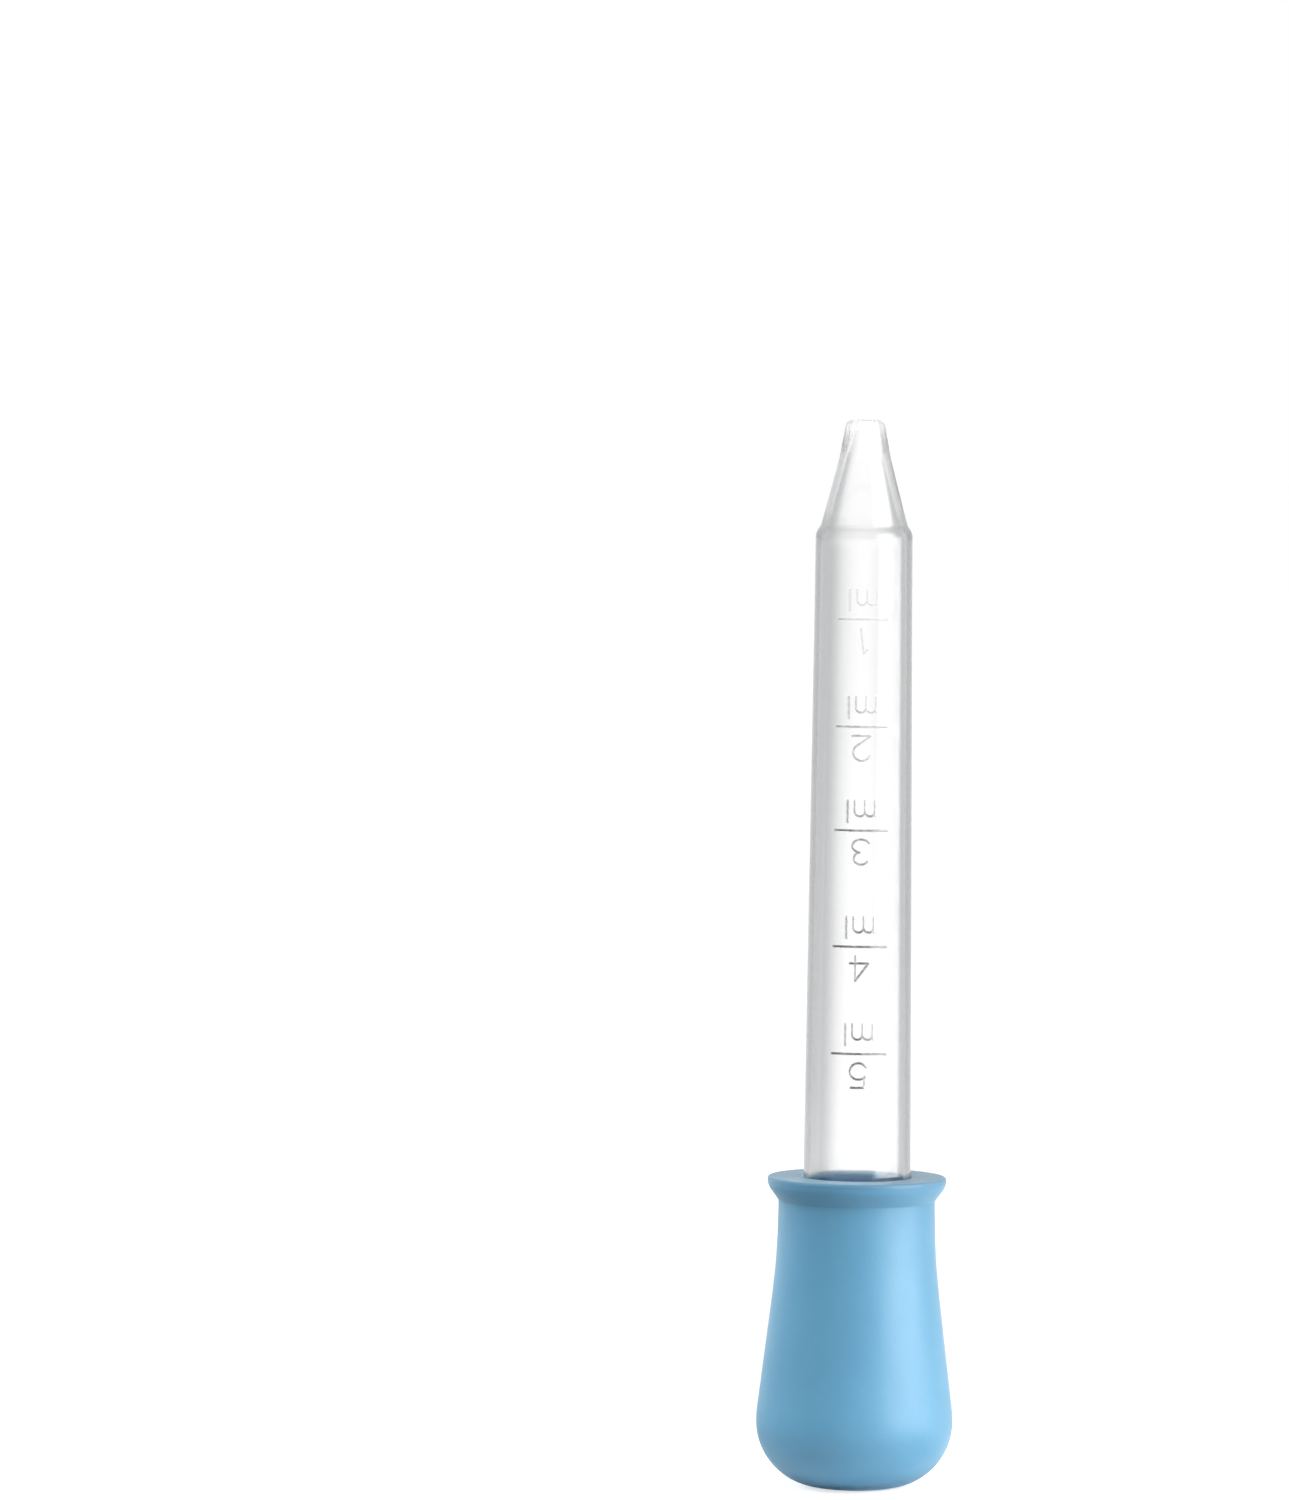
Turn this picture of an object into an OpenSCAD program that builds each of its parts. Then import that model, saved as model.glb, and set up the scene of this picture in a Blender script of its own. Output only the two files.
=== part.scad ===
// Graduated dropper pipette, 5 ml.
// A clear moulded barrel with a hollow cone tip plugs into a soft squeeze bulb.
// It stands on the flat of the bulb, tip up, on the origin. The scale faces -Y.
// All sizes are in millimetres.

/* [Overall] */
// Height from the flat of the bulb to the end of the tip
total_h = 120; // [116:1:130]

/* [Bulb] */
// Height of the bulb, from its flat to the top of its collar
bulb_h = 35; // [34:0.5:37]
// Radius of the bulb at its widest
belly_r = 11.05; // [10.95:0.05:11.15]
// Height at which the belly turns into the taper
belly_z = 8.2; // [8.2:0.1:9.5]
// Radius of the rounded bottom corner
base_corner_r = 7.3; // [6:0.1:7.3]
// Radius of the flat that the bulb stands on
foot_r = 4.4; // [3.8:0.1:4.5]
// Rise of the base outside its flat, in degrees
foot_slope = 8; // [6:1:10]
// Radius of the neck below the collar
neck_r = 8.8; // [8.75:0.05:9.2]
// Height at which the taper meets the neck
neck_z = 26.5; // [26:0.5:28]
// Thickness of the bulb's wall and floor
bulb_wall = 1.7; // [1.2:0.1:1.7]

/* [Collar] */
// Radius of the collar's rim
collar_r = 10.05; // [9.6:0.05:11]
// Height of the collar, from the neck to its top face
collar_h = 2.7; // [2.3:0.1:3]
// Height of the rim band between the flared underside and the top face
rim_h = 0.95; // [0.8:0.05:1]

/* [Barrel] */
// Outer radius where the barrel leaves the collar
barrel_r = 6.05; // [5.8:0.05:6.2]
// Draft of the barrel, in degrees a side
barrel_draft = 0.5; // [0.2:0.1:0.6]
// Wall thickness of the barrel and of the cone
barrel_wall = 0.75; // [0.5:0.05:0.9]
// Height of the cone, shoulder included
cone_h = 12.6; // [11:0.1:14]
// Length of barrel gripped inside the bulb's neck
grip_l = 9; // [7:0.5:9.5]

/* [Retaining bead] */
// Outer radius of the bead at the hidden end of the barrel
bead_r = 6.85; // [6.5:0.05:6.85]
// Height of the bead
bead_h = 2.8; // [2:0.1:3]

/* [Tip] */
// Radius of the end of the tip, before its edge is rounded
tip_r = 2.1; // [1.9:0.05:2.3]
// Radius of the hole in the tip
orifice_r = 1.2; // [0.6:0.05:1.2]
// Length of the straight hole at the tip
orifice_l = 1.2; // [0.8:0.1:2]

/* [Scale] */
// Distance of each raised line below the end of the tip, from 1 ml to 5 ml
line_drops = [22.1, 34.1, 45.7, 58.7, 70.7];
// Angle that each raised line spans around the barrel
line_span = 60; // [40:5:90]
// Width of a raised line
line_w = 0.4; // [0.3:0.05:0.6]
// Height of a raised line above the barrel
line_h = 0.2; // [0.1:0.05:0.3]

/* [Hidden] */
$fn = 120;

// Turn of each straight step that stands for a round edge, in degrees
arc_step = 6;
// Least number of steps on a round edge, however little it turns
arc_least = 3;

// Heights of the joint between the two pieces
mouth_z = bulb_h;
ledge_z = mouth_z - grip_l;
barrel_end_z = ledge_z - bead_h;

// Height and depth of the step from the tube in to the cone
step_rise = 0.85;
step_in = 0.57;

// Length of the steeper nose at the tip, and how much wider its foot is
nose_l = 4.25;
nose_flare = 0.78;

// Heights of the barrel's features
shoulder_z = total_h - cone_h;
cone_foot_z = shoulder_z + step_rise;
nose_z = total_h - nose_l;

// Radii along the cone
shoulder_r = outer_r(shoulder_z);
cone_foot_r = shoulder_r - step_in;
nose_r = tip_r + nose_flare;

// Radii of the round edges
mouth_edge = 0.3;
flare_root_edge = 0.3;
rim_low_edge = 0.9;
rim_top_edge = 0.3;
belly_blend = 14;
neck_blend = 80;
tip_edge = 0.75;
nose_blend = 6;
step_edge = 1.2;
shoulder_edge = 1.6;
bead_top_edge = 0.3;
bead_low_edge = 0.6;
end_edge = 0.25;

// Depth to which a raised line is rooted in the wall that carries it
line_root = 0.25;

// Outer radius of the barrel at height z: a straight draft from the collar up and down
function outer_r(z) = barrel_r + (mouth_z - z) * tan(barrel_draft);

// Inner radius of the barrel at height z
function bore_r(z) = outer_r(z) - barrel_wall;

// Height that the sloped base has gained at radius r, outside its flat
function base_rise(r) = (r - foot_r) * tan(foot_slope);

// Unit vector from point a to point b
function toward(a, b) = (b - a) / norm(b - a);

// Corner b between a and c, cut back into an arc of radius r that touches both edges
function round_corner(a, b, c, r) =
    let (
        to_a = toward(b, a),
        to_c = toward(b, c),
        opening = acos(max(-1, min(1, to_a * to_c))),
        turn = 180 - opening,
        reach = r * tan(turn / 2),
        centre = b + toward([0, 0], to_a + to_c) * (r / sin(opening / 2)),
        from_centre = b + to_a * reach - centre,
        side = sign(cross(to_a, to_c)),
        steps = max(arc_least, ceil(turn / arc_step))
    )
    [for (i = [0 : steps]) centre + turned(from_centre, -side * turn * i / steps)];

// Vector v turned by angle a about the origin
function turned(v, a) = [v.x * cos(a) - v.y * sin(a), v.x * sin(a) + v.y * cos(a)];

// Closed outline through corners given as [radius, height, edge radius]
function outline(corners) =
    let (
        n = len(corners),
        at = [for (c = corners) [c.x, c.y]]
    )
    [for (i = [0 : n - 1])
        each corners[i][2] > 0
            ? round_corner(at[(i + n - 1) % n], at[i], at[(i + 1) % n], corners[i][2])
            : [at[i]]];

// Section of the bulb's outer form: base, belly, taper, neck and collar, up to the mouth
function bulb_outside() = [
    [0, 0, 0],
    [foot_r, 0, 0],
    [belly_r, base_rise(belly_r), base_corner_r],
    [belly_r, belly_z, belly_blend],
    [neck_r, neck_z, neck_blend],
    [neck_r, mouth_z - collar_h, flare_root_edge],
    [collar_r, mouth_z - rim_h, rim_low_edge],
    [collar_r, mouth_z, rim_top_edge]
];

// Section of the bulb's inside: the grip on the barrel, the ledge and the air chamber
function bulb_inside() = [
    [outer_r(mouth_z), mouth_z, mouth_edge],
    [outer_r(ledge_z), ledge_z, 0],
    [neck_r - bulb_wall, ledge_z, mouth_edge],
    [belly_r - bulb_wall, belly_z, belly_blend - bulb_wall],
    [belly_r - bulb_wall, bulb_wall + base_rise(belly_r - bulb_wall), base_corner_r - bulb_wall],
    [foot_r, bulb_wall, 0],
    [0, bulb_wall, 0]
];

// Section of the barrel's outside, from the tip down to its hidden end
function barrel_outside() = [
    [tip_r, total_h, tip_edge],
    [nose_r, nose_z, nose_blend],
    [cone_foot_r, cone_foot_z, step_edge],
    [shoulder_r, shoulder_z, shoulder_edge],
    [outer_r(ledge_z), ledge_z, 0],
    [bead_r, ledge_z, bead_top_edge],
    [bead_r, ledge_z - bead_h / 2, bead_low_edge],
    [outer_r(barrel_end_z), barrel_end_z, end_edge]
];

// Section of the barrel's bore, from its hidden end up to the hole in the tip
function barrel_inside() = [
    [bore_r(barrel_end_z), barrel_end_z, 0],
    [bore_r(shoulder_z), shoulder_z - barrel_wall / 2, shoulder_edge],
    [cone_foot_r - barrel_wall, cone_foot_z - barrel_wall / 2, step_edge],
    [orifice_r, total_h - orifice_l, 0],
    [orifice_r, total_h, 0]
];

// One raised line of the scale: a ridge across the front of the barrel at height z
module raised_line(z) {
    crest = outer_r(z) + line_h;
    root = outer_r(z) - line_root;
    rotate([0, 0, -90 - line_span / 2])
        rotate_extrude(angle = line_span)
            polygon([
                [root, z - line_w / 2],
                [crest, z - line_w / 4],
                [crest, z + line_w / 4],
                [root, z + line_w / 2]
            ]);
}

// Clear moulded barrel: tapered tube, hollow cone tip, retaining bead and scale lines
module barrel() {
    color([0.90, 0.93, 0.95, 0.45])
        union() {
            rotate_extrude()
                polygon(outline(concat(barrel_outside(), barrel_inside())));
            for (drop = line_drops)
                raised_line(total_h - drop);
        }
}

// Soft squeeze bulb with its collar, hollow, open at the mouth
module bulb() {
    color([0.42, 0.66, 0.81])
        rotate_extrude()
            polygon(outline(concat(bulb_outside(), bulb_inside())));
}

barrel();
bulb();
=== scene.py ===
"""Looks of the graduated dropper pipette: a clear moulded barrel in a blue silicone squeeze bulb."""

import math

import bpy
import numpy as np
from mathutils import Matrix, Vector


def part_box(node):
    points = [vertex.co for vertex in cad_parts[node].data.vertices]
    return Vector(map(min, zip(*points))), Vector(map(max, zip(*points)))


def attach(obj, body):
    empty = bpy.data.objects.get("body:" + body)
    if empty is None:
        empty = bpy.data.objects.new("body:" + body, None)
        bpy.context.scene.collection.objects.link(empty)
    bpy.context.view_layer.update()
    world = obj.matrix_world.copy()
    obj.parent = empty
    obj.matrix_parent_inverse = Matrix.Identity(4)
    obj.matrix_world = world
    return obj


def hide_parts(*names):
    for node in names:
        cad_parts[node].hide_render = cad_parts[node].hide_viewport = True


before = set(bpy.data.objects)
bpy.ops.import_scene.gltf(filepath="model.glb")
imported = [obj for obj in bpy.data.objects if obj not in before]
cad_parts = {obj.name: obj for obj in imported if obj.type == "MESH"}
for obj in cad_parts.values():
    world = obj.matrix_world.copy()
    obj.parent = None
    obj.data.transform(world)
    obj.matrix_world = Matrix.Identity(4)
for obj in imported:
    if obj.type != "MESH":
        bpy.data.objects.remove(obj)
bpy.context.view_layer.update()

# Sizes are in millimetres up to the point where a mesh is made.
MM = 0.001

bulb_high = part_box("bulb")[1] / MM
barrel_low, barrel_high = (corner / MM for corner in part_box("barrel"))
total_h = barrel_high.z
mouth_z = bulb_high.z
barrel_end_z = barrel_low.z


# ---------------------------------------------------------------------------
# Outlines
# ---------------------------------------------------------------------------

def round_corner(before, corner, after, radius, step):
    """Points of the arc that takes the place of a corner, one for each step of turn in degrees."""
    to_before = (before - corner) / np.linalg.norm(before - corner)
    to_after = (after - corner) / np.linalg.norm(after - corner)
    opening = math.acos(float(np.clip(to_before @ to_after, -1, 1)))
    turn = math.pi - opening
    middle = to_before + to_after
    centre = corner + middle / np.linalg.norm(middle) * radius / math.sin(opening / 2)
    x, z = corner + to_before * radius * math.tan(turn / 2) - centre
    side = -math.copysign(turn, to_before[0] * to_after[1] - to_before[1] * to_after[0])
    count = max(2, math.ceil(math.degrees(turn) / step))
    angles = [side * i / count for i in range(count + 1)]
    return [
        centre + (x * math.cos(a) - z * math.sin(a), x * math.sin(a) + z * math.cos(a))
        for a in angles
    ]


def outline(corners, step):
    """Closed outline through corners given as (radius, height, edge radius)."""
    at = [np.array(c[:2], float) for c in corners]
    points = []
    for i, (_, _, edge) in enumerate(corners):
        if edge > 0:
            points += round_corner(at[i - 1], at[i], at[(i + 1) % len(at)], edge, step)
        else:
            points.append(at[i])
    return points


# ---------------------------------------------------------------------------
# The barrel's section, named as in the CAD source
# ---------------------------------------------------------------------------

barrel_draft = math.tan(math.radians(0.5))
barrel_r = 6.05
barrel_wall = 0.75
cone_h = 12.6
step_rise = 0.85
step_in = 0.57
step_edge = 1.2
shoulder_edge = 1.6
nose_l = 4.25
nose_flare = 0.78
nose_blend = 6
tip_r = 2.1
tip_edge = 0.75
orifice_r = 1.2
orifice_l = 1.2
orifice_low_edge = 0.3
orifice_top_edge = 0.08
grip_l = 9
bead_h = 2.8
bead_top_edge = 0.3
bead_low_edge = 0.6
end_edge = 0.25
end_bore_edge = 0.1

# Air left between the barrel and the bulb's grip, so that the two skins don't lie in one another
skin_gap = 0.02

shoulder_z = total_h - cone_h
cone_foot_z = shoulder_z + step_rise
nose_z = total_h - nose_l
ledge_z = mouth_z - grip_l


def outer_r(z):
    """Outer radius of the barrel's tapered wall."""
    return barrel_r + (mouth_z - z) * barrel_draft


def bore_r(z):
    """Radius of the barrel's bore."""
    return outer_r(z) - barrel_wall


def on_wall(r, z):
    """Whether a point of the section lies on the barrel's tapered outer wall."""
    return abs(r - outer_r(z)) < 0.001


shoulder_r = outer_r(shoulder_z)
cone_foot_r = shoulder_r - step_in


def barrel_outline():
    """Section of the barrel: down the outside from the tip, and up the bore again."""
    bead_r = barrel_high.x
    seat_z = ledge_z - skin_gap
    half_wall = barrel_wall / 2
    return outline([
        (tip_r, total_h, tip_edge),
        (tip_r + nose_flare, nose_z, nose_blend),
        (cone_foot_r, cone_foot_z, step_edge),
        (shoulder_r, shoulder_z, shoulder_edge),
        (outer_r(seat_z), seat_z, 0),
        (bead_r, seat_z, bead_top_edge),
        (bead_r, ledge_z - bead_h / 2, bead_low_edge),
        (outer_r(barrel_end_z), barrel_end_z, end_edge),
        (bore_r(barrel_end_z), barrel_end_z, end_bore_edge),
        (bore_r(shoulder_z), shoulder_z - half_wall, shoulder_edge),
        (cone_foot_r - barrel_wall, cone_foot_z - half_wall, step_edge),
        (orifice_r, total_h - orifice_l, orifice_low_edge),
        (orifice_r, total_h, orifice_top_edge),
    ], step=6.0)


# ---------------------------------------------------------------------------
# The bulb's section
# ---------------------------------------------------------------------------

bulb_wall = 1.7
belly_z = 8.2
belly_blend = 14
base_corner_r = 7.3
foot_r = 4.4
foot_slope = math.tan(math.radians(8))
neck_r = 8.8
neck_z = 26.5
neck_blend = 80
collar_r = 10.05
collar_h = 2.7
flare_root_edge = 0.3
rim_h = 0.95
# Rounder than in the CAD source, as in the photograph
rim_low_edge = 1.9
rim_top_edge = 0.3
mouth_edge = 0.3


def base_rise(r):
    """Height that the sloped base has gained at a radius outside its flat."""
    return (r - foot_r) * foot_slope


def bulb_outline():
    """Section of the bulb: its outside from the base up, then the grip, the ledge and the air chamber."""
    belly_r = bulb_high.x
    chamber_r = belly_r - bulb_wall
    return outline([
        (0, 0, 0),
        (foot_r, 0, 0),
        (belly_r, base_rise(belly_r), base_corner_r),
        (belly_r, belly_z, belly_blend),
        (neck_r, neck_z, neck_blend),
        (neck_r, mouth_z - collar_h, flare_root_edge),
        (collar_r, mouth_z - rim_h, rim_low_edge),
        (collar_r, mouth_z, rim_top_edge),
        (outer_r(mouth_z) + skin_gap, mouth_z, mouth_edge),
        (outer_r(ledge_z) + skin_gap, ledge_z, 0),
        (neck_r - bulb_wall, ledge_z, mouth_edge),
        (chamber_r, belly_z, belly_blend - bulb_wall),
        (chamber_r, bulb_wall + base_rise(chamber_r), base_corner_r - bulb_wall),
        (foot_r, bulb_wall, 0),
        (0, bulb_wall, 0),
    ], step=3.0)


# ---------------------------------------------------------------------------
# The scale: strokes on the unrolled front of the barrel, as (along, up) points
# ---------------------------------------------------------------------------

line_drops = (22.1, 34.1, 45.7, 58.7, 70.7)
# The raised scale fades towards the tip, as on a worn mould
line_strengths = (0.3, 0.55, 0.85, 1.0, 0.95)
line_half_span = math.radians(30)
# Height of the scale above the wall, and half the width of its strokes
crest = 0.16
half_width = 0.15
# Strokes that run along the barrel are polished down more than those that run around it
upright_strength = 0.62


def arc(x, y, rx, ry, start, end, count=14):
    """Points along part of an ellipse, angles in degrees."""
    angles = [math.radians(start + (end - start) * i / count) for i in range(count + 1)]
    return [(x + rx * math.cos(a), y + ry * math.sin(a)) for a in angles]


# Numerals 2.8 high and letters, drawn upright with the baseline at 0
digits = {
    1: [[(-0.5, 2.35), (-0.1, 2.8), (0.25, 0)]],
    2: [arc(0, 1.85, 0.95, 0.95, 160, -40) + [(-1.0, 0), (1.05, 0)]],
    3: [arc(-0.05, 2.1, 0.8, 0.7, 150, -80) + arc(-0.05, 0.72, 0.98, 0.74, 80, -155)],
    4: [[(0.45, 0), (0.45, 2.8), (-1.0, 0.85), (1.05, 0.85)]],
    5: [[(0.8, 2.8), (-0.6, 2.8), (-0.75, 1.55)] + arc(-0.02, 0.95, 0.97, 0.93, 140, -150)],
}
letter_m = [
    [(-1.15, 0), (-1.15, 1.7)],
    arc(-0.58, 1.15, 0.57, 0.6, 180, 0) + [(-0.01, 0)],
    arc(0.56, 1.15, 0.57, 0.6, 180, 0) + [(1.13, 0)],
]
letter_l = [[(0, 0), (0, 2.4)]]

# Where the numeral and the two letters stand, from the middle of their line
numeral_at = (0, -1.0)
letter_m_at = (0.42, 3.35)
letter_l_at = (-1.5, 3.35)


def turned_over(strokes, at, line_z):
    """Strokes set upside down at a place by their line, because the pipette stands on its bulb."""
    along, up = at
    return [[(along - x, line_z + up - y) for x, y in stroke] for stroke in strokes]


def mark_strokes(number, line_z):
    """The line, the numeral on its bulb side and the unit on its tip side."""
    reach = outer_r(line_z) * line_half_span
    return (
        [[(-reach, line_z), (reach, line_z)]]
        + turned_over(digits[number], numeral_at, line_z)
        + turned_over(letter_m, letter_m_at, line_z)
        + turned_over(letter_l, letter_l_at, line_z)
    )


def wear(number, along, up):
    """How much of a mark handling has left at points by it: least on the right, and patchy."""
    side = np.interp(along, (-2.5, 0, 3.3), (1.2, 1.0, 0.4))
    wide = 0.12 * np.sin(2.3 * along + 1.7 * number)
    close = 0.12 * np.sin(6.1 * along + 7.3 * up)
    return side * (0.95 + wide + close)


def distance_to(a, b, along, up):
    """Distance of points from the straight piece of a stroke between a and b."""
    px, py = along - a[0], up - a[1]
    d = b - a
    t = np.clip((px * d[0] + py * d[1]) / max(d @ d, 1e-9), 0, 1)
    return np.hypot(px - t * d[0], py - t * d[1])


def raised(along, up):
    """Strength of the raised scale, 0 to 1, at points of the barrel's unrolled front."""
    height = np.zeros_like(along)
    for number, (drop, strength) in enumerate(zip(line_drops, line_strengths), 1):
        left = wear(number, along, up)
        for stroke in mark_strokes(number, total_h - drop):
            points = np.array(stroke)
            for a, b in zip(points[:-1], points[1:]):
                near = np.abs(up - (a[1] + b[1]) / 2) < abs(a[1] - b[1]) / 2 + half_width
                away = distance_to(a, b, along[near], up[near])
                around = abs(b[0] - a[0]) / np.hypot(*(b - a))
                kept = strength * (upright_strength + (1 - upright_strength) * around)
                # A stroke is at its full height over the middle third of its width
                profile = np.clip(1.5 * (1 - away / half_width), 0, 1)
                height[near] = np.maximum(height[near], np.clip(kept * left[near] * profile, 0, 1))
    return height


def scale_relief(azimuths, r, z):
    """Relief of one row of the barrel's outer wall: the raised scale on its front."""
    if not on_wall(r, z):
        return np.zeros(len(azimuths))
    from_front = (azimuths + math.pi / 2 + math.pi) % (2 * math.pi) - math.pi
    return raised(from_front * r, np.full(len(azimuths), z))


def fine_rows():
    """Heights of the close rows that carry the scale, from the top down."""
    row = 0.062
    # The last rows of each band lie beyond its strokes, so that no tilt is carried into the plain wall
    above, below = 3.68, 4.12
    rows = []
    for drop in line_drops:
        rows += list(np.arange(total_h - drop + above, total_h - drop - below, -row))
    return rows


def fine_azimuths():
    """Azimuths of the barrel's columns: close across the numerals, wider round the back."""
    front = -math.pi / 2
    numerals = math.radians(16.5)
    lines = math.radians(34)
    close = np.linspace(-numerals, numerals, 64)
    side = np.linspace(numerals, lines, 9)[1:]
    back = np.linspace(lines, 2 * math.pi - lines, 54)[1:-1]
    return front + np.concatenate([-side[::-1], close, side, back])


def with_rows(section, rows):
    """The section with extra rows put into its tapered outer wall."""
    result = []
    for a, b in zip(section, section[1:] + section[:1]):
        result.append(a)
        if on_wall(*a) and on_wall(*b) and a[1] > b[1]:
            result += [np.array((outer_r(z), z)) for z in rows if b[1] < z < a[1]]
    return result


# ---------------------------------------------------------------------------
# Meshes
# ---------------------------------------------------------------------------

# Turns sharper than this, in degrees, stay edges in the shading
sharp_turn = 50


def make_mesh(name, points, faces):
    """A smooth-shaded object in metres from points in millimetres."""
    mesh = bpy.data.meshes.new(name)
    mesh.from_pydata((np.array(points) * MM).tolist(), [], faces)
    mesh.validate()
    mesh.shade_smooth()
    mesh.set_sharp_from_angle(angle=math.radians(sharp_turn))
    piece = bpy.data.objects.new(name, mesh)
    bpy.context.scene.collection.objects.link(piece)
    return piece


def ring_faces(upper, lower):
    """Faces between two rings of points. A ring that is one point over and over gives triangles."""
    faces = []
    for i in range(len(upper)):
        j = (i + 1) % len(upper)
        corners = [upper[i], lower[i], lower[j], upper[j]]
        corners = [c for k, c in enumerate(corners) if c != corners[k - 1]]
        if len(corners) > 2:
            faces.append(corners)
    return faces


def revolved(name, section, azimuths, relief=None):
    """A closed solid of revolution. A section point on the axis becomes a pole."""
    count = len(azimuths)
    points, rings, strokes = [], [], []
    for r, z in section:
        start = len(points)
        if r < 1e-6:
            points.append((0, 0, z))
            strokes.append(0.0)
            rings.append([start] * count)
            continue
        stroke = relief(azimuths, r, z) if relief else np.zeros(count)
        radii = r + crest * stroke
        strokes += stroke.tolist()
        points += list(zip(radii * np.cos(azimuths), radii * np.sin(azimuths), np.full(count, z)))
        rings.append(list(range(start, start + count)))
    faces = []
    for upper, lower in zip(rings, rings[1:] + rings[:1]):
        faces += ring_faces(upper, lower)
    piece = make_mesh(name, points, faces)
    if relief:
        piece.data.attributes.new("stroke", "FLOAT", "POINT").data.foreach_set("value", strokes)
    return piece


# ---------------------------------------------------------------------------
# Node helpers: each adds to a node tree and gives back the socket that carries its result
# ---------------------------------------------------------------------------

def maths(tree, operation, *values):
    """A Math node on values that are numbers or sockets."""
    node = tree.nodes.new("ShaderNodeMath")
    node.operation = operation
    for socket, value in zip(node.inputs, values):
        if isinstance(value, (int, float)):
            socket.default_value = value
        else:
            tree.links.new(value, socket)
    return node.outputs[0]


def largest(tree, first, *others):
    """The largest of some sockets."""
    for other in others:
        first = maths(tree, "MAXIMUM", first, other)
    return first


def by_vector(tree, operation, vector, other):
    """A Vector Math node on a socket and a fixed vector."""
    node = tree.nodes.new("ShaderNodeVectorMath")
    node.operation = operation
    node.inputs[1].default_value = other
    tree.links.new(vector, node.inputs[0])
    return node.outputs["Vector"]


def length_of(tree, vector):
    """The length of a vector."""
    node = tree.nodes.new("ShaderNodeVectorMath")
    node.operation = "LENGTH"
    tree.links.new(vector, node.inputs[0])
    return node.outputs["Value"]


def spread(tree, value, source, target=(0, 1), kind="LINEAR"):
    """A value carried from one range to another and held at its ends."""
    node = tree.nodes.new("ShaderNodeMapRange")
    node.interpolation_type = kind
    node.inputs["From Min"].default_value, node.inputs["From Max"].default_value = source
    node.inputs["To Min"].default_value, node.inputs["To Max"].default_value = target
    tree.links.new(value, node.inputs["Value"])
    return node.outputs[0]


def ramp(tree, value, stops):
    """A value that follows (place, level) pairs, places from 0 to 1."""
    node = tree.nodes.new("ShaderNodeValToRGB")
    elements = node.color_ramp.elements
    while len(elements) < len(stops):
        elements.new(0.5)
    for element, (at, level) in zip(elements, stops):
        element.position = at
        element.color = (level, level, level, 1)
    tree.links.new(value, node.inputs["Fac"])
    return node.outputs["Color"]


def ramp_by_height(tree, place, levels):
    """A value that follows (height in millimetres, level) pairs along the pipette."""
    height = tree.nodes.new("ShaderNodeSeparateXYZ")
    tree.links.new(place, height.inputs[0])
    low, high = levels[0][0], levels[-1][0]
    part = spread(tree, height.outputs["Z"], (low * MM, high * MM))
    return ramp(tree, part, [((z - low) / (high - low), level) for z, level in levels])


def slant_ramp(tree, stops):
    """A value that follows (slant, level) pairs: slant is 0 face on and 1 edge on."""
    slant = tree.nodes.new("ShaderNodeLayerWeight")
    slant.inputs["Blend"].default_value = 0.5
    return ramp(tree, slant.outputs["Facing"], stops)


def speckle(tree, place, scale, low, high):
    """A value that wanders between two levels. Scale is in cells per metre along each axis."""
    noise = tree.nodes.new("ShaderNodeTexNoise")
    noise.inputs["Scale"].default_value = 1.0
    noise.inputs["Detail"].default_value = 2.0
    tree.links.new(by_vector(tree, "MULTIPLY", place, scale), noise.inputs["Vector"])
    return spread(tree, noise.outputs["Fac"], (0.3, 0.7), (low, high))


def bumped(tree, height, distance, shader):
    """Bumps of up to a distance in metres on a shader."""
    bump = tree.nodes.new("ShaderNodeBump")
    bump.inputs["Strength"].default_value = 1.0
    bump.inputs["Distance"].default_value = distance
    tree.links.new(height, bump.inputs["Height"])
    tree.links.new(bump.outputs["Normal"], shader.inputs["Normal"])


def mixed(tree, factor, first, second):
    """One value or colour laid over another by a factor. Each colour is fixed or a socket."""
    node = tree.nodes.new("ShaderNodeMix")
    node.data_type = "RGBA"
    tree.links.new(factor, node.inputs["Factor"])
    for name, value in (("A", first), ("B", second)):
        if isinstance(value, tuple):
            node.inputs[name].default_value = (*value, 1)
        else:
            tree.links.new(value, node.inputs[name])
    return node.outputs["Result"]


def laid_over(tree, factor, first, second):
    """The second shader laid over the first by a factor."""
    node = tree.nodes.new("ShaderNodeMixShader")
    tree.links.new(factor, node.inputs["Fac"])
    tree.links.new(first.outputs[0], node.inputs[1])
    tree.links.new(second.outputs[0], node.inputs[2])
    return node


def new_material(name):
    """A node material with its output, the object's own coordinates and nothing else."""
    material = bpy.data.materials.new(name)
    material.use_nodes = True
    tree = material.node_tree
    tree.nodes.clear()
    output = tree.nodes.new("ShaderNodeOutputMaterial")
    place = tree.nodes.new("ShaderNodeTexCoord").outputs["Object"]
    return material, tree, place, output.inputs["Surface"]


# ---------------------------------------------------------------------------
# Clear plastic
# ---------------------------------------------------------------------------

no_tint = (1.0, 1.0, 1.0)
# Grey of the painted shade at the barrel's sides
side_shade_tint = (0.28, 0.29, 0.30)
# Dark tint of the painted shade on the scale's strokes
mark_shade_tint = (0.012, 0.0125, 0.0135)
plastic_ior = 1.49
lip_ior = 1.1


def glass_shader(tree, tint, ior=plastic_ior):
    """A clear shader with its tint."""
    shader = tree.nodes.new("ShaderNodeBsdfPrincipled")
    shader.inputs["Base Color"].default_value = (*tint, 1)
    shader.inputs["Roughness"].default_value = 0.12
    shader.inputs["IOR"].default_value = ior
    shader.inputs["Transmission Weight"].default_value = 1
    return shader


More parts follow.
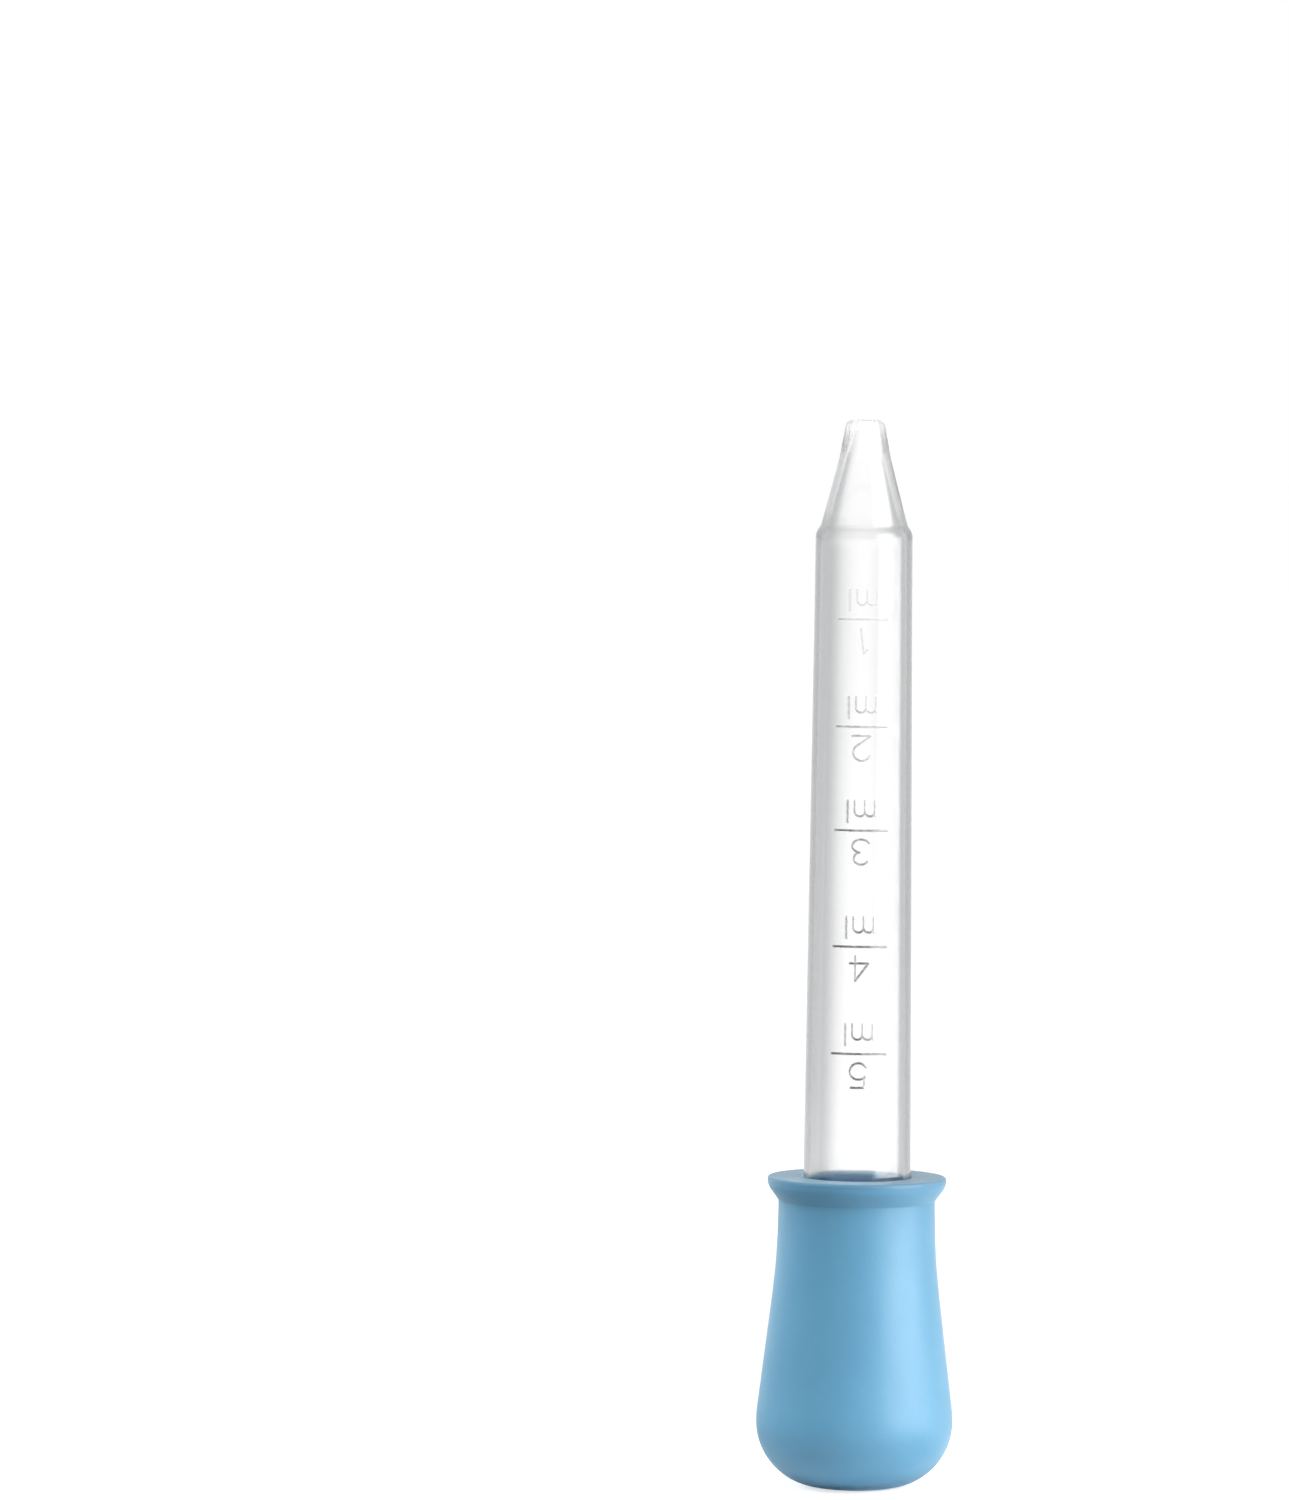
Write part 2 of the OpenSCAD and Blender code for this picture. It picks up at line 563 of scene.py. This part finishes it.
def on_outside(tree, place):
    """1 on the tube's outside and 0 in its bore. With the draft taken out, each is at one radius."""
    radius = length_of(tree, by_vector(tree, "MULTIPLY", place, (1, 1, 0)))
    height = tree.nodes.new("ShaderNodeSeparateXYZ")
    tree.links.new(place, height.inputs[0])
    undrafted = maths(tree, "MULTIPLY_ADD", height.outputs["Z"], barrel_draft, radius)
    inner, outer = outer_r(0) - barrel_wall * 0.8, outer_r(0) - barrel_wall * 0.2
    return spread(tree, undrafted, (inner * MM, outer * MM))


def painted_side_shade(tree, place):
    """How grey the plastic is where its skin is seen aslant: partly the longer path that light takes
    through the wall, and mostly painted shade for the dark sides the tube shows.
    """
    outside = slant_ramp(tree, (
        (0.0, 0.0), (0.05, 0.075), (0.10, 0.15), (0.14, 0.245), (0.20, 0.38), (0.27, 0.56),
        (0.36, 0.37), (0.43, 0.28), (0.49, 0.50), (0.56, 1.0), (0.68, 1.0), (0.80, 0.80), (1.0, 0.50),
    ))
    # The bore's painted shade is weaker than the outside's
    bore = slant_ramp(tree, (
        (0.0, 0.0), (0.05, 0.065), (0.10, 0.13), (0.14, 0.20), (0.20, 0.31), (0.27, 0.42),
        (0.36, 0.37), (0.43, 0.29), (0.49, 0.33), (0.56, 0.46), (0.80, 0.40), (1.0, 0.30),
    ))
    tube = mixed(tree, on_outside(tree, place), bore, outside)
    # The cone's wall is thicker for its width than the tube's, and its painted shade reaches further in
    cone = slant_ramp(tree, (
        (0.0, 0.0), (0.15, 0.04), (0.25, 0.12), (0.35, 0.3),
        (0.43, 0.6), (0.55, 0.8), (0.80, 0.85), (1.0, 0.6),
    ))
    on_cone = ramp_by_height(tree, place, ((shoulder_z - 2, 0.0), (cone_foot_z + 1, 1.0)))
    return mixed(tree, on_cone, tube, cone)


def plastic_haze(tree, place):
    """Roughness: the mould leaves the skin duller round the shoulder, and handling makes it uneven."""
    plain, dull = 0.08, 0.21
    haze = ramp_by_height(tree, place, (
        (shoulder_z - 2, plain), (shoulder_z - 0.2, dull),
        (cone_foot_z + 0.3, dull), (cone_foot_z + 2, plain),
    ))
    return maths(tree, "MULTIPLY", haze, speckle(tree, place, (260, 260, 90), 0.75, 1.25))


def plastic_wall(tree, place):
    """The plain wall: clear plastic with painted shade that greys it at its sides."""
    clear = glass_shader(tree, no_tint)
    grey = glass_shader(tree, side_shade_tint)
    haze = plastic_haze(tree, place)
    for shader in (clear, grey):
        tree.links.new(haze, shader.inputs["Roughness"])
    return laid_over(tree, painted_side_shade(tree, place), clear, grey)


def clear_plastic():
    """Clear moulded plastic with a worn lip and a raised scale."""
    material, tree, place, surface = new_material("clear_plastic")
    # The worn lip of the tip bends light less than the rest
    lip = glass_shader(tree, no_tint, lip_ior)
    lip_levels = ((nose_z, 0.0), (total_h - orifice_l, 0.5), (total_h, 0.8))
    worn = laid_over(tree, ramp_by_height(tree, place, lip_levels), plastic_wall(tree, place), lip)
    # The raised scale bends light away, and its strokes are also tinted dark as painted shade for that,
    # so they read grey
    stroke = tree.nodes.new("ShaderNodeAttribute")
    stroke.attribute_name = "stroke"
    marked = laid_over(tree, stroke.outputs["Fac"], worn, glass_shader(tree, mark_shade_tint))
    tree.links.new(marked.outputs[0], surface)
    return material


# ---------------------------------------------------------------------------
# Blue silicone
# ---------------------------------------------------------------------------

pigment_dark = (0.095, 0.279, 0.429)
pigment_light = (0.103, 0.295, 0.449)
# Painted shade: a darker, greyer blue that holds back the light falling on the collar's top face
collar_top_shaded_blue = (0.075, 0.175, 0.25)
# Painted light: a light blue for the silicone inside the mouth
mouth_painted_light_blue = (0.30, 0.66, 1.0)


def silicone_colour(tree, place):
    """Blue pigment, mixed slightly unevenly, with painted shade greying the collar's top and painted
    light lightening the inside of the mouth.
    """
    mixing = speckle(tree, place, (180, 180, 140), 0, 1)
    pigment = mixed(tree, mixing, pigment_dark, pigment_light)
    # Painted shade: the collar's top face is darkened and greyed
    painted_top_shade = ramp_by_height(tree, place, ((mouth_z - 0.8, 0.0), (mouth_z - 0.1, 1.0)))
    outside = mixed(tree, painted_top_shade, pigment, collar_top_shaded_blue)
    # Painted light: the silicone inside the mouth is made lighter, standing for light that reaches it
    # through the plastic
    radius = length_of(tree, by_vector(tree, "MULTIPLY", place, (1, 1, 0)))
    mouth_light_mask = spread(tree, radius, ((barrel_r + 0.25) * MM, (barrel_r + 0.15) * MM))
    return mixed(tree, mouth_light_mask, outside, mouth_painted_light_blue)


def blue_silicone():
    """Satin blue silicone rubber."""
    material, tree, place, surface = new_material("blue_silicone")
    shader = tree.nodes.new("ShaderNodeBsdfPrincipled")
    tree.links.new(silicone_colour(tree, place), shader.inputs["Base Color"])
    # Satin skin: gloss that varies with handling, over a grain too fine to count
    gloss = speckle(tree, place, (420, 420, 300), 0.38, 0.47)
    tree.links.new(gloss, shader.inputs["Roughness"])
    grain = speckle(tree, place, (3200, 3200, 3200), 0, 1)
    bumped(tree, grain, 0.004 * MM, shader)
    shader.inputs["IOR"].default_value = 1.43
    shader.inputs["Subsurface Weight"].default_value = 0.6
    shader.inputs["Subsurface Radius"].default_value = (0.5, 0.9, 1.2)
    shader.inputs["Subsurface Scale"].default_value = 1.6 * MM
    shader.inputs["Sheen Weight"].default_value = 0.12
    shader.inputs["Sheen Roughness"].default_value = 0.45
    tree.links.new(shader.outputs[0], surface)
    return material


# ---------------------------------------------------------------------------
# White floor
# ---------------------------------------------------------------------------

def floor_glow(tree, place):
    """Strength of the floor's own white: none for the light it throws, only for rays that show it."""
    # The lamps light the floor near the pipette, so it glows less there than far away
    level = spread(tree, length_of(tree, place), (0.08, 0.5), (0.68, 0.98), "SMOOTHSTEP")
    # The bulb's satin skin doesn't mirror the glow right under it, and mirrors more on the lamps' side
    from_left = length_of(tree, by_vector(tree, "ADD", place, (0.08, 0, 0)))
    mirrored = spread(tree, from_left, (0.085, 0.17))
    path = tree.nodes.new("ShaderNodeLightPath").outputs
    glossy = maths(tree, "MULTIPLY", path["Is Glossy Ray"], mirrored)
    seen = largest(tree, path["Is Camera Ray"], path["Is Transmission Ray"], glossy)
    return maths(tree, "MULTIPLY", seen, level)


def white_floor():
    """White floor that keeps the shadow and meets the white background without a seam."""
    material, tree, place, surface = new_material("white_floor")
    diffuse = tree.nodes.new("ShaderNodeBsdfDiffuse")
    # Whiter beside the pipette on the lamps' side than further out, where the glow fills the gap to white
    beside = length_of(tree, by_vector(tree, "ADD", place, (-0.034, 0, 0)))
    paint = spread(tree, beside, (0.024, 0.066), (0.88, 0.3))
    tree.links.new(paint, diffuse.inputs["Color"])
    glow = tree.nodes.new("ShaderNodeEmission")
    glow.inputs["Color"].default_value = (1, 1, 1, 1)
    tree.links.new(floor_glow(tree, place), glow.inputs["Strength"])
    both = tree.nodes.new("ShaderNodeAddShader")
    tree.links.new(diffuse.outputs[0], both.inputs[0])
    tree.links.new(glow.outputs[0], both.inputs[1])
    tree.links.new(both.outputs[0], surface)
    return material


# ---------------------------------------------------------------------------
# Studio
# ---------------------------------------------------------------------------

ambient = 0.28


def add_world():
    """White to every ray that shows it, and an even soft light otherwise."""
    world = bpy.data.worlds.new("studio")
    bpy.context.scene.world = world
    world.use_nodes = True
    tree = world.node_tree
    tree.nodes.clear()
    output = tree.nodes.new("ShaderNodeOutputWorld")
    background = tree.nodes.new("ShaderNodeBackground")
    background.inputs["Color"].default_value = (1, 1, 1, 1)
    path = tree.nodes.new("ShaderNodeLightPath").outputs
    seen = largest(tree, path["Is Camera Ray"], path["Is Glossy Ray"], path["Is Transmission Ray"])
    strength = spread(tree, seen, (0, 1), (ambient, 1))
    tree.links.new(strength, background.inputs["Strength"])
    tree.links.new(background.outputs[0], output.inputs["Surface"])


def soften_edges(lamp, full):
    """Lets an area light fade outside its full part, as cloth does, so that its reflections are soft."""
    lamp.use_nodes = True
    tree = lamp.node_tree
    place = tree.nodes.new("ShaderNodeNewGeometry").outputs["Parametric"]
    sides = tree.nodes.new("ShaderNodeSeparateXYZ")
    tree.links.new(place, sides.inputs[0])
    fades = []
    for axis in ("X", "Y"):
        away = maths(tree, "ABSOLUTE", maths(tree, "SUBTRACT", sides.outputs[axis], 0.5))
        fades.append(spread(tree, away, (0.5, full / 2), kind="SMOOTHSTEP"))
    tree.links.new(maths(tree, "MULTIPLY", *fades), tree.nodes["Emission"].inputs["Strength"])


def add_softbox(name, azimuth, elevation, distance, size, power, rays, full=0.24):
    """An area light that looks at the middle of the pipette, seen only by the kinds of rays named.

    Azimuth 0 is the camera's side and 90 its right. Size is width and height in metres.
    """
    a, e = math.radians(azimuth), math.radians(elevation)
    target = Vector((0, 0, total_h * MM / 2))
    away = Vector((math.sin(a) * math.cos(e), -math.cos(a) * math.cos(e), math.sin(e)))
    lamp = bpy.data.lights.new(name, "AREA")
    lamp.shape = "RECTANGLE"
    lamp.size, lamp.size_y = size
    lamp.energy = power
    soften_edges(lamp, full)
    box = bpy.data.objects.new(name, lamp)
    box.location = target + away * distance
    box.rotation_euler = (-away).to_track_quat("-Z", "Y").to_euler()
    # From behind, a low lamp that showed through the barrel would wash it out
    box.visible_camera = False
    box.visible_diffuse = "diffuse" in rays
    box.visible_glossy = "glossy" in rays
    box.visible_transmission = "clear" in rays
    bpy.context.scene.collection.objects.link(box)


def add_softboxes():
    """Low and high light from the right, a strip that shows in reflections only, and soft fill."""
    low, wide = (0.50, 0.26), (0.68, 0.26)
    broad, square = (0.55, 0.22), (0.4, 0.4)
    add_softbox("key", 70, -3, 0.33, wide, power=2.6, rays="diffuse")
    add_softbox("strip", 68, -3, 0.33, low, power=3.7, rays="glossy", full=0.44)
    add_softbox("high", 60, 27, 0.45, broad, power=3.9, rays="diffuse glossy clear")
    add_softbox("top", -20, 62, 0.5, square, power=6.3, rays="diffuse")
    add_softbox("fill", -110, 20, 0.5, square, power=5.9, rays="diffuse")


def add_floor():
    """A wide floor just under the bulb's flat."""
    half = 3.0
    gap = 0.02 * MM
    corners = [(-half, -half, 0), (half, -half, 0), (half, half, 0), (-half, half, 0)]
    mesh = bpy.data.meshes.new("floor")
    mesh.from_pydata(corners, [], [(0, 1, 2, 3)])
    floor = bpy.data.objects.new("floor", mesh)
    floor.location.z = -gap
    bpy.context.scene.collection.objects.link(floor)
    mesh.materials.append(white_floor())


# ---------------------------------------------------------------------------
# Camera
# ---------------------------------------------------------------------------

# A long lens a metre in front and a little above the tip, in metres
camera_distance = 1.0
camera_height = total_h * MM * 1.125
# Height of the frame at the pipette
frame_span = total_h * MM * 1.4012
sensor = 36
# Turned away so that the pipette stands right of centre and low in the frame, in degrees
camera_pitch = -2.991
camera_yaw = 1.397
camera_roll = 0.578


def add_camera():
    """The photograph's view."""
    data = bpy.data.cameras.new("camera")
    data.sensor_width = sensor
    data.lens = sensor * camera_distance / frame_span
    data.clip_start, data.clip_end = 0.05, 20
    camera = bpy.data.objects.new("camera", data)
    bpy.context.scene.collection.objects.link(camera)
    bpy.context.scene.camera = camera
    camera.location = (0, -camera_distance, camera_height)
    yaw = Matrix.Rotation(math.radians(camera_yaw), 4, "Z")
    pitch = Matrix.Rotation(math.radians(camera_pitch), 4, "X")
    upright = Matrix.Rotation(math.pi / 2, 4, "X")
    roll = Matrix.Rotation(math.radians(camera_roll), 4, "Z")
    camera.rotation_euler = (yaw @ pitch @ upright @ roll).to_euler()


# ---------------------------------------------------------------------------
# The pipette
# ---------------------------------------------------------------------------

def add_barrel():
    """The clear barrel with its raised scale, in place of the CAD node."""
    section = with_rows(barrel_outline(), fine_rows())
    piece = revolved("barrel_clear", section, fine_azimuths(), scale_relief)
    piece.data.materials.append(clear_plastic())
    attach(piece, "root")
    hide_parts("barrel")


def add_bulb():
    """The blue squeeze bulb, in place of the CAD node."""
    azimuths = np.linspace(0, 2 * math.pi, 257)[:-1]
    piece = revolved("bulb_silicone", bulb_outline(), azimuths)
    piece.data.materials.append(blue_silicone())
    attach(piece, "root")
    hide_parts("bulb")


add_camera()
add_world()
add_softboxes()
add_floor()
add_barrel()
add_bulb()
bpy.context.scene.view_settings.view_transform = "Standard"
